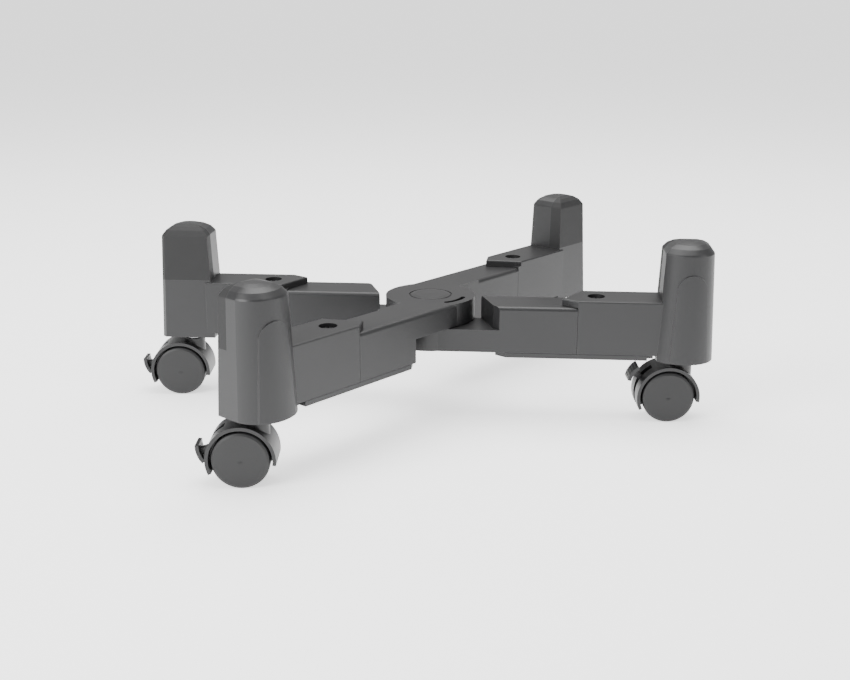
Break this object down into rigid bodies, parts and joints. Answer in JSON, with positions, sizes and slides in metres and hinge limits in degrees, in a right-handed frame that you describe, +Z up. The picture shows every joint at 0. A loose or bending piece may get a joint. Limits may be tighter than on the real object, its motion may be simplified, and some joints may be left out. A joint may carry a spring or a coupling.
{
  "type": "computer tower stand",
  "caption": "Scissor-armed rolling stand for a computer tower, with telescoping corners, rounded posts and braked twin-wheel casters.",
  "frame": {"origin": "scissor pivot axis at floor level", "axes": "+X along the length of the tower it carries, towards the right-hand corners; -Y to the front; +Z up"},
  "size_m": [0.4017, 0.2572, 0.141],
  "materials": {
    "frame_plastic": "satin",
    "caster_plastic": "satin",
    "wheel_plastic": "matte",
    "washer_plastic": "matte",
    "pad_rubber": "matte",
    "steel": "satin"
  },
  "bodies": {
    "lower_frame": {"lower_rail": "frame_plastic", "pivot_bolt": "steel", "pivot_nut": "steel", "pivot_washer": "washer_plastic"},
    "upper_frame": {"upper_rail": "frame_plastic", "hub_cap": "frame_plastic"},
    "front_left_corner": {"front_left_housing": "frame_plastic", "front_left_post_pad": "pad_rubber", "front_left_slide_bar": "frame_plastic", "front_left_foot_plate": "frame_plastic", "front_left_screw": "steel", "front_left_socket": "frame_plastic", "front_left_stem": "steel"},
    "front_left_caster": {"front_left_hood": "caster_plastic", "front_left_axle": "steel", "front_left_brake_pin": "steel"},
    "front_left_near_wheel": {"front_left_wheel_near": "wheel_plastic"},
    "front_left_far_wheel": {"front_left_wheel_far": "wheel_plastic"},
    "front_left_brake": {"front_left_brake_lever": "caster_plastic"},
    "rear_right_corner": {"rear_right_housing": "frame_plastic", "rear_right_post_pad": "pad_rubber", "rear_right_slide_bar": "frame_plastic", "rear_right_foot_plate": "frame_plastic", "rear_right_screw": "steel", "rear_right_socket": "frame_plastic", "rear_right_stem": "steel"},
    "rear_right_caster": {"rear_right_hood": "caster_plastic", "rear_right_axle": "steel", "rear_right_brake_pin": "steel"},
    "rear_right_near_wheel": {"rear_right_wheel_near": "wheel_plastic"},
    "rear_right_far_wheel": {"rear_right_wheel_far": "wheel_plastic"},
    "rear_right_brake": {"rear_right_brake_lever": "caster_plastic"},
    "front_right_corner": {"front_right_housing": "frame_plastic", "front_right_post_pad": "pad_rubber", "front_right_slide_bar": "frame_plastic", "front_right_foot_plate": "frame_plastic", "front_right_screw": "steel", "front_right_socket": "frame_plastic", "front_right_stem": "steel"},
    "front_right_caster": {"front_right_hood": "caster_plastic", "front_right_axle": "steel", "front_right_brake_pin": "steel"},
    "front_right_near_wheel": {"front_right_wheel_near": "wheel_plastic"},
    "front_right_far_wheel": {"front_right_wheel_far": "wheel_plastic"},
    "front_right_brake": {"front_right_brake_lever": "caster_plastic"},
    "rear_left_corner": {"rear_left_housing": "frame_plastic", "rear_left_post_pad": "pad_rubber", "rear_left_slide_bar": "frame_plastic", "rear_left_foot_plate": "frame_plastic", "rear_left_screw": "steel", "rear_left_socket": "frame_plastic", "rear_left_stem": "steel"},
    "rear_left_caster": {"rear_left_hood": "caster_plastic", "rear_left_axle": "steel", "rear_left_brake_pin": "steel"},
    "rear_left_near_wheel": {"rear_left_wheel_near": "wheel_plastic"},
    "rear_left_far_wheel": {"rear_left_wheel_far": "wheel_plastic"},
    "rear_left_brake": {"rear_left_brake_lever": "caster_plastic"}
  },
  "joints": [
    {"name": "scissor", "type": "hinge", "parent": "lower_frame", "child": "upper_frame", "pos_m": [0, 0, 0.072], "axis": [0, 0, 1], "range_deg": [-18, 18]},
    {"name": "front_left_extend", "type": "slide", "parent": "upper_frame", "child": "front_left_corner", "axis": [-0.8949, -0.4462, 0], "range_m": [0, 0.038]},
    {"name": "front_left_swivel", "type": "hinge", "parent": "front_left_corner", "child": "front_left_caster", "pos_m": [-0.16693, -0.10222, 0.048], "axis": [0, 0, 1], "continuous": true},
    {"name": "front_left_near_spin", "type": "hinge", "parent": "front_left_caster", "child": "front_left_near_wheel", "pos_m": [-0.17713, -0.0981, 0.02], "axis": [0.3746, 0.9272, 0], "continuous": true},
    {"name": "front_left_far_spin", "type": "hinge", "parent": "front_left_caster", "child": "front_left_far_wheel", "pos_m": [-0.17713, -0.0981, 0.02], "axis": [0.3746, 0.9272, 0], "continuous": true},
    {"name": "front_left_brake_press", "type": "hinge", "parent": "front_left_caster", "child": "front_left_brake", "pos_m": [-0.18918, -0.09323, 0.028], "axis": [0.3746, 0.9272, 0], "range_deg": [0, 55]},
    {"name": "rear_right_extend", "type": "slide", "parent": "upper_frame", "child": "rear_right_corner", "axis": [0.8949, 0.4462, 0], "range_m": [0, 0.038]},
    {"name": "rear_right_swivel", "type": "hinge", "parent": "rear_right_corner", "child": "rear_right_caster", "pos_m": [0.16693, 0.10222, 0.048], "axis": [0, 0, 1], "continuous": true},
    {"name": "rear_right_near_spin", "type": "hinge", "parent": "rear_right_caster", "child": "rear_right_near_wheel", "pos_m": [0.15673, 0.10634, 0.02], "axis": [0.3746, 0.9272, 0], "continuous": true},
    {"name": "rear_right_far_spin", "type": "hinge", "parent": "rear_right_caster", "child": "rear_right_far_wheel", "pos_m": [0.15673, 0.10634, 0.02], "axis": [0.3746, 0.9272, 0], "continuous": true},
    {"name": "rear_right_brake_press", "type": "hinge", "parent": "rear_right_caster", "child": "rear_right_brake", "pos_m": [0.14467, 0.11121, 0.028], "axis": [0.3746, 0.9272, 0], "range_deg": [0, 55]},
    {"name": "front_right_extend", "type": "slide", "parent": "lower_frame", "child": "front_right_corner", "axis": [0.8949, -0.4462, 0], "range_m": [0, 0.038]},
    {"name": "front_right_swivel", "type": "hinge", "parent": "front_right_corner", "child": "front_right_caster", "pos_m": [0.16693, -0.10222, 0.048], "axis": [0, 0, 1], "continuous": true},
    {"name": "front_right_near_spin", "type": "hinge", "parent": "front_right_caster", "child": "front_right_near_wheel", "pos_m": [0.15673, -0.0981, 0.02], "axis": [0.3746, 0.9272, 0], "continuous": true},
    {"name": "front_right_far_spin", "type": "hinge", "parent": "front_right_caster", "child": "front_right_far_wheel", "pos_m": [0.15673, -0.0981, 0.02], "axis": [0.3746, 0.9272, 0], "continuous": true},
    {"name": "front_right_brake_press", "type": "hinge", "parent": "front_right_caster", "child": "front_right_brake", "pos_m": [0.14467, -0.09323, 0.028], "axis": [0.3746, 0.9272, 0], "range_deg": [-55, 0]},
    {"name": "rear_left_extend", "type": "slide", "parent": "lower_frame", "child": "rear_left_corner", "axis": [-0.8949, 0.4462, 0], "range_m": [0, 0.038]},
    {"name": "rear_left_swivel", "type": "hinge", "parent": "rear_left_corner", "child": "rear_left_caster", "pos_m": [-0.16693, 0.10222, 0.048], "axis": [0, 0, 1], "continuous": true},
    {"name": "rear_left_near_spin", "type": "hinge", "parent": "rear_left_caster", "child": "rear_left_near_wheel", "pos_m": [-0.17713, 0.10634, 0.02], "axis": [0.3746, 0.9272, 0], "continuous": true},
    {"name": "rear_left_far_spin", "type": "hinge", "parent": "rear_left_caster", "child": "rear_left_far_wheel", "pos_m": [-0.17713, 0.10634, 0.02], "axis": [0.3746, 0.9272, 0], "continuous": true},
    {"name": "rear_left_brake_press", "type": "hinge", "parent": "rear_left_caster", "child": "rear_left_brake", "pos_m": [-0.18918, 0.11121, 0.028], "axis": [0.3746, 0.9272, 0], "range_deg": [0, 55]}
  ]
}
